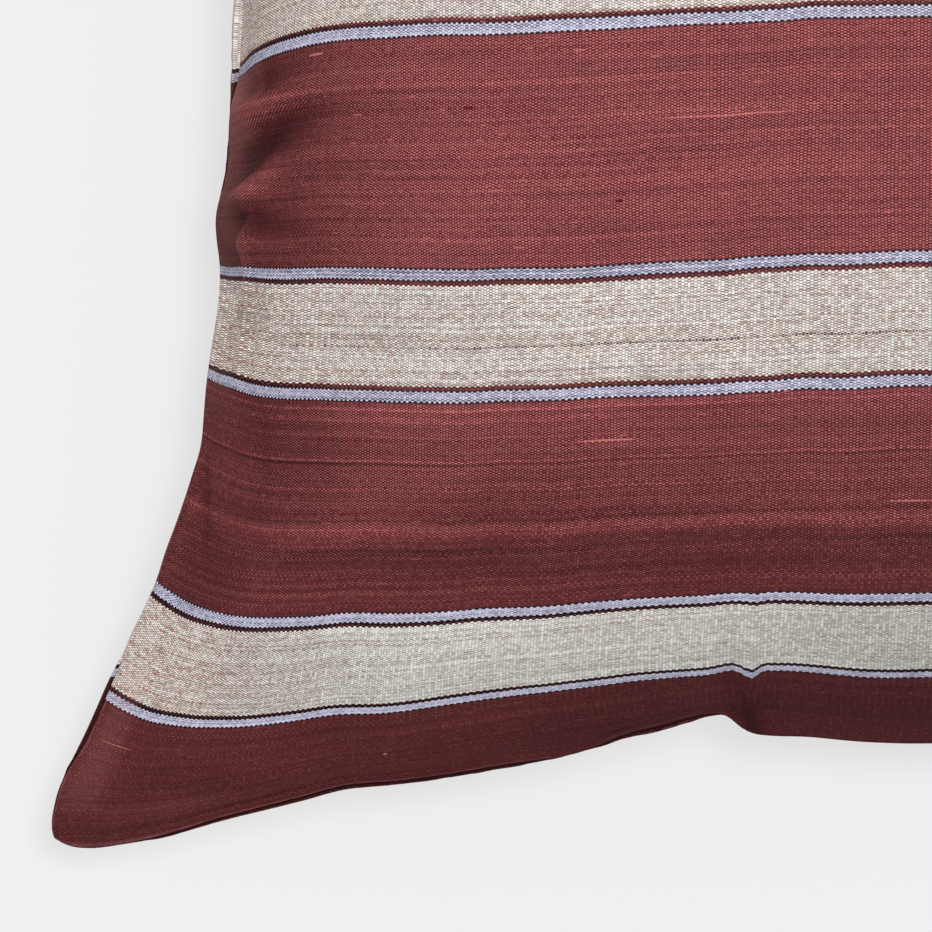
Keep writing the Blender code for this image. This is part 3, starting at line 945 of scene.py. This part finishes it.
def striped_cotton():
    """The cloth's material, in millimetres along the warp and up the stripes."""
    material = bpy.data.materials.new("striped_cotton")
    material.use_nodes = True
    tree = material.node_tree
    shader = tree.nodes["Principled BSDF"]
    places = tree.nodes.new("ShaderNodeUVMap")
    places.uv_map = "cloth"
    split = Yarn(places.outputs[0]).node("SeparateXYZ", {0: Yarn(places.outputs[0])})
    x = Yarn(split.socket.node.outputs["X"]) * (1 / MM)
    y = Yarn(split.socket.node.outputs["Y"]) * (1 / MM)
    # The weave's closing from the mesh, with painted shade and painted light in it.
    closed_and_painted_light = x.node("Attribute", {}, output="Fac", attribute_name="closed_and_painted_light")
    from_seam = x.node("Attribute", {}, output="Fac", attribute_name="from_seam")

    warp, column, odd, number, from_float, along_float = lie_of_yarns(x, y)
    warp_colour, paleness = of_stripe(number, [stripe[2] for stripe in STRIPES])
    weft_colour, _ = of_stripe(number, [stripe[3] for stripe in STRIPES])

    reed = (number / WARPS_IN_REED).maths("FRACT").between(*REED_GAP)
    odds = number.chance(column)
    long_row = clouds(x, y, 260, 0.5)
    clump = clouds(x, y, 1.9, 1.1)
    side = x.maths("ABSOLUTE").between(*SIDE_SLOPE)
    gap = missing_warp(x, y, along_float)
    # Past 1 the closing is painted shade.
    shaded = (closed_and_painted_light - 1).maths("MAXIMUM", 0.0)
    closed_and_painted_light = closed_and_painted_light.maths("MINIMUM", 1.0)
    lower_left = side * y.between(*LOWEST_STRIPE)
    upper_left = x.between(*LEFT_END) - lower_left
    flecks = lower_left * (clouds(x, y, 7, 1.1) * FLECKS - FLECKS_OPEN)
    mottled = paleness * (flecks - upper_left * (side * SLOPE_OPEN + END_OPEN))
    half_width = (closed_and_painted_light * (1 - paleness * PALE_STAYS_OPEN) * WIDER_CLOSED + FLOAT_HALF
                  + odds * WIDER_BY_CHANCE - reed * NARROWER_AT_REED - gap * NARROWER_IN_GAP + mottled
                  + long_row * WIDER_IN_ROW + clump * WIDER_IN_CLUMP + along_float * WIDER_IN_MIDDLE)
    weft_shows = (from_float - half_width).between(*FLOAT_EDGE) * along_float.between(*FLOAT_END)

    row_tone = long_row * ROW_TONE + clouds(x, y, 120, 1.6) * BAND_TONE
    for height, half, amount in ROWS:
        row_tone = row_tone + ((y - height) / half).maths("ABSOLUTE").between(*ROW_EDGE) * amount
    weft_tone = x.noise(column * NEXT_WEFT, y / 30) * WEFT_TONE - odd * closed_and_painted_light * paleness * ODD_WEFT_DARKER
    patch_tone = clouds(x, y, 34, 24, 2.0) * PATCH_TONE
    tone = 1 + (row_tone + patch_tone) * (1 - paleness * PALE_CALMER) + weft_tone + odds * YARN_TONE
    # Lighter and darker patches, two of them painted shade.
    for *spot, amount in PATCHES:
        tone = tone + away_from(x, y, *spot).between(*PATCH_EDGE) * amount
    # The pale stripes are made lighter where the weave closes, painted light on the sides that turn from the
    # lamps, and past 1 the closing darkens the yarns as painted shade.
    tone = (tone + closed_and_painted_light * paleness * PALE_CLOSED_LIGHTER) * (1 - shaded * SHADED_DARKER)
    slub = x.noise(x / SLUB_LENGTH, warp.whole() * NEXT_WARP).between(*SLUB_RARITY)
    slub = slub * (1 - paleness) * (1 - closed_and_painted_light * SLUB_HIDDEN_CLOSED)
    kept_round = paleness * (upper_left * PALE_KEEPS_LEFT + PALE_KEEPS)
    relief = ROUNDNESS + paleness * PALE_ROUNDER - closed_and_painted_light * FLATTER_CLOSED * (1 - kept_round)
    yarn_shade = (1 + (along_float - MEAN_ALONG) * relief * LIGHT_ALONG
                  + (MEAN_ACROSS - from_float) * relief * LIGHT_ACROSS)

    colour = weft_shows.mix(warp_colour, (1 - gap * GAP_DARKER).tint(weft_colour))
    colour = (slub * SLUB_PALER).mix(colour, SALMON)
    for *spot, kind in SLUBS:
        slub_colour = SALMON if kind == "light" else DARK_KNOT
        colour = away_from(x, y, *spot).between(*SLUB_EDGE).mix(colour, slub_colour)
    colour = beside_seam(colour, x, y, from_seam, closed_and_painted_light, side, paleness)
    colour = (tone * yarn_shade * CLOTH_TONE).tint(colour)
    tree.links.new(colour.socket, shader.inputs["Base Color"])

    height = (1 - from_float * ROUND_ACROSS) * along_float + slub * SLUB_HEIGHT + patch_tone
    bump = height.node("Bump", {"Strength": YARN_BUMP, "Distance": YARN_HEIGHT * MM, "Height": height})
    tree.links.new(bump.socket, shader.inputs["Normal"])
    shader.inputs["Roughness"].default_value = ROUGHNESS
    shader.inputs["Specular IOR Level"].default_value = GLOSS
    return material


cover_mesh.materials.append(striped_cotton())
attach(cover, "root")
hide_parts("pillow")


# Studio
# A plain pale floor, even light from all round, two soft lamps from beyond the pillow's upper edge that
# light the pillow, and one from above that lights the floor and casts its soft shadow. The floor's glow
# lights nothing else. The camera looks straight down with a long lens on the lower left quarter.
PHOTO_SIDE = 932
LENS = 300.0
SENSOR = 36.0
PIXEL_AT_SEAM = 0.2685
TIP_FROM_LEFT = 50.5
TIP_FROM_TOP = 847.5

lens_pixels = PHOTO_SIDE * LENS / SENSOR
camera_height = SEAM_HEIGHT + PIXEL_AT_SEAM * lens_pixels
pixel_at_tip = (camera_height - CORNER_HEIGHT) / lens_pixels * MM
camera_data = bpy.data.cameras.new("camera")
camera_data.lens = LENS
camera_data.sensor_width = SENSOR
camera_data.clip_end = 20.0
camera = bpy.data.objects.new("camera", camera_data)
camera.location = (solid_low.x + (PHOTO_SIDE / 2 - TIP_FROM_LEFT) * pixel_at_tip,
                   solid_low.y + (TIP_FROM_TOP - PHOTO_SIDE / 2) * pixel_at_tip,
                   camera_height * MM)
bpy.context.scene.collection.objects.link(camera)
bpy.context.scene.camera = camera

FLOOR_SIDE = 8.0
FLOOR_DROP = 0.0003
FLOOR_GREY = (0.13, 0.13, 0.13, 1.0)
FLOOR_GLOW = 0.673
WHITE = (1.0, 1.0, 1.0, 1.0)
ROOM_LIGHT = 0.78
floor_mesh = bpy.data.meshes.new("floor")
reach = FLOOR_SIDE / 2
floor_mesh.from_pydata([(-reach, -reach, -FLOOR_DROP), (reach, -reach, -FLOOR_DROP),
                        (reach, reach, -FLOOR_DROP), (-reach, reach, -FLOOR_DROP)], [], [(0, 1, 2, 3)])
floor = bpy.data.objects.new("floor", floor_mesh)
bpy.context.scene.collection.objects.link(floor)
paint = bpy.data.materials.new("pale_floor")
paint.use_nodes = True
paint_shader = paint.node_tree.nodes["Principled BSDF"]
paint_shader.inputs["Base Color"].default_value = FLOOR_GREY
paint_shader.inputs["Roughness"].default_value = 1.0
paint_shader.inputs["Specular IOR Level"].default_value = 0.0
paint_shader.inputs["Emission Color"].default_value = WHITE
paint_shader.inputs["Emission Strength"].default_value = FLOOR_GLOW
floor_mesh.materials.append(paint)
lit_by_floor = bpy.data.collections.new("lit_by_floor")
lit_by_floor.objects.link(floor)
floor.light_linking.receiver_collection = lit_by_floor

lit_by_lamps = bpy.data.collections.new("lit_by_lamps")
lit_by_lamps.objects.link(cover)

#          name         place               side  watts what it lights
LIGHTS = (("overhead", (0.00, 0.90, 1.90), 0.40, 9.0, lit_by_lamps),
          ("window", (-1.00, 1.60, 1.20), 0.60, 4.0, lit_by_lamps),
          ("ceiling", (0.06, 0.03, 2.20), 0.34, 45.0, lit_by_floor))
for name, place, side, watts, lit in LIGHTS:
    lamp_data = bpy.data.lights.new(name, "AREA")
    lamp_data.shape = "SQUARE"
    lamp_data.size = side
    lamp_data.energy = watts
    lamp = bpy.data.objects.new(name, lamp_data)
    lamp.location = place
    lamp.light_linking.receiver_collection = lit
    lamp.rotation_mode = "QUATERNION"
    lamp.rotation_quaternion = lamp.location.to_track_quat("Z", "Y")
    bpy.context.scene.collection.objects.link(lamp)

world = bpy.data.worlds.new("studio")
world.use_nodes = True
background = world.node_tree.nodes["Background"]
background.inputs["Color"].default_value = WHITE
background.inputs["Strength"].default_value = ROOM_LIGHT
bpy.context.scene.world = world
bpy.context.scene.view_settings.view_transform = "Standard"
